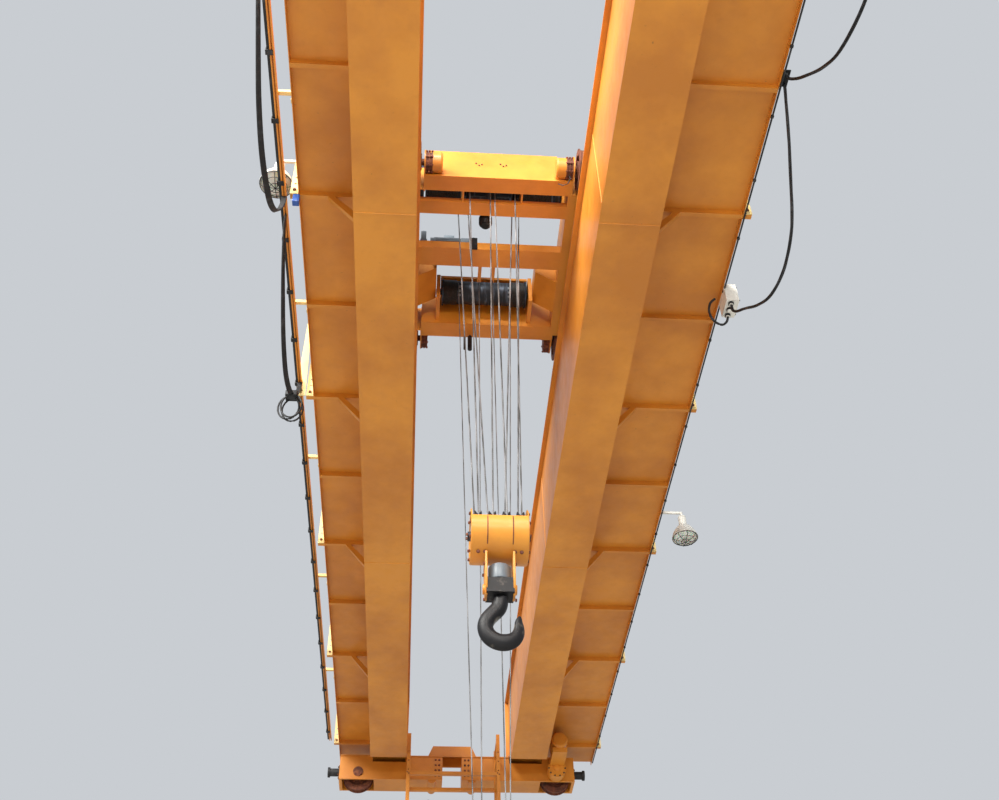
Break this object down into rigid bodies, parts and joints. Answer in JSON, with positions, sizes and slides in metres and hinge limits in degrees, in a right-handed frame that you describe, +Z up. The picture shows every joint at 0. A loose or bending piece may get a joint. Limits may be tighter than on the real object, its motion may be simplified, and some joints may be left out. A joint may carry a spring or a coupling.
{
  "type": "overhead bridge crane",
  "caption": "Double-girder overhead bridge crane with walkways, end trucks and a travelling crab carrying a main and an auxiliary hook hoist.",
  "frame": {"origin": "middle of the bridge, at the level of the runway rails' heads", "axes": "+X along the runway, +Y along the girders, +Z up"},
  "size_m": [5.6749, 23.65, 10.9329],
  "materials": {
    "crane_paint": "satin",
    "pale_paint": "satin",
    "rail_steel": "worn",
    "drive_grey": "satin",
    "wheel_steel": "rusty",
    "drum_steel": "greased",
    "rope_steel": "greased",
    "forged_black": "worn",
    "buffer_black": "matte",
    "box_white": "satin",
    "cable_black": "matte"
  },
  "bodies": {
    "bridge": {"girder_left": "crane_paint", "girder_right": "crane_paint", "crab_rail_left": "rail_steel", "crab_rail_right": "rail_steel", "crab_end_stops": "crane_paint", "end_truck_near": "crane_paint", "end_truck_far": "crane_paint", "runway_wheels": "wheel_steel", "buffers": "buffer_black", "travel_drive_near": "drive_grey", "travel_drive_far": "drive_grey", "walkway_left": "crane_paint", "walkway_right": "crane_paint", "handrail_left": "pale_paint", "handrail_right": "pale_paint", "festoon_track": "pale_paint", "service_cage": "crane_paint", "junction_box": "box_white", "cable_clamps": "crane_paint", "lamp_left": "box_white", "lamp_right": "box_white", "festoon_cables": "cable_black", "round_cables": "cable_black"},
    "crab": {"crab_frame": "crane_paint", "crab_bearing_boxes": "wheel_steel", "wheel_covers": "pale_paint", "main_hoist_machinery": "drive_grey", "aux_hoist_machinery": "drive_grey", "sheave_hangers": "pale_paint", "upper_sheaves": "drum_steel", "limit_switches": "forged_black", "drum_pedestals": "crane_paint", "main_ropes": "rope_steel", "aux_ropes": "rope_steel"},
    "crab_wheels_near": {"crab_wheels_near": "wheel_steel"},
    "crab_wheels_far": {"crab_wheels_far": "wheel_steel"},
    "main_drum": {"main_drum": "drum_steel"},
    "aux_drum": {"aux_drum": "drum_steel"},
    "main_block": {"main_block_guard": "pale_paint", "main_block_cheeks": "pale_paint", "main_block_sheaves": "drum_steel"},
    "main_hook": {"main_hook": "forged_black"},
    "aux_block": {"aux_block_frame": "pale_paint", "aux_block_sheaves": "drum_steel"},
    "aux_hook": {"aux_hook": "forged_black"}
  },
  "joints": [
    {"name": "crab_traverse", "type": "slide", "parent": "bridge", "child": "crab", "axis": [0, 1, 0], "range_m": [-9.72, 7.87]},
    {"name": "main_hoist", "type": "slide", "parent": "crab", "child": "main_block", "axis": [0, 0, 1], "range_m": [-6.6, 4.1], "deforming": ["main_ropes"]},
    {"name": "main_hook_swivel", "type": "hinge", "parent": "main_block", "child": "main_hook", "pos_m": [-0.06, 0.095, -3.3], "axis": [0, 0, 1], "continuous": true},
    {"name": "aux_hoist", "type": "slide", "parent": "crab", "child": "aux_block", "axis": [0, 0, 1], "range_m": [-2.7, 8.6], "deforming": ["aux_ropes"]},
    {"name": "aux_hook_swivel", "type": "hinge", "parent": "aux_block", "child": "aux_hook", "pos_m": [-0.06, 1.3747, -7.27], "axis": [0, 0, 1], "continuous": true},
    {"name": "main_drum_spin", "type": "hinge", "parent": "crab", "child": "main_drum", "pos_m": [-0.06, 0.325, 3], "axis": [1, 0, 0], "continuous": true},
    {"name": "aux_drum_spin", "type": "hinge", "parent": "crab", "child": "aux_drum", "pos_m": [-0.06, 1.665, 2.45], "axis": [1, 0, 0], "continuous": true},
    {"name": "crab_wheels_near_roll", "type": "hinge", "parent": "crab", "child": "crab_wheels_near", "pos_m": [0, -0.5, 2.265], "axis": [1, 0, 0], "continuous": true},
    {"name": "crab_wheels_far_roll", "type": "hinge", "parent": "crab", "child": "crab_wheels_far", "pos_m": [0, 2.35, 2.265], "axis": [1, 0, 0], "continuous": true}
  ],
  "couplings": [
    {"joint": "main_drum_spin", "follows": "main_hoist", "rad_per_m": -16},
    {"joint": "aux_drum_spin", "follows": "aux_hoist", "rad_per_m": -12.5},
    {"joint": "crab_wheels_near_roll", "follows": "crab_traverse", "rad_per_m": -4.4444},
    {"joint": "crab_wheels_far_roll", "follows": "crab_traverse", "rad_per_m": -4.4444}
  ]
}
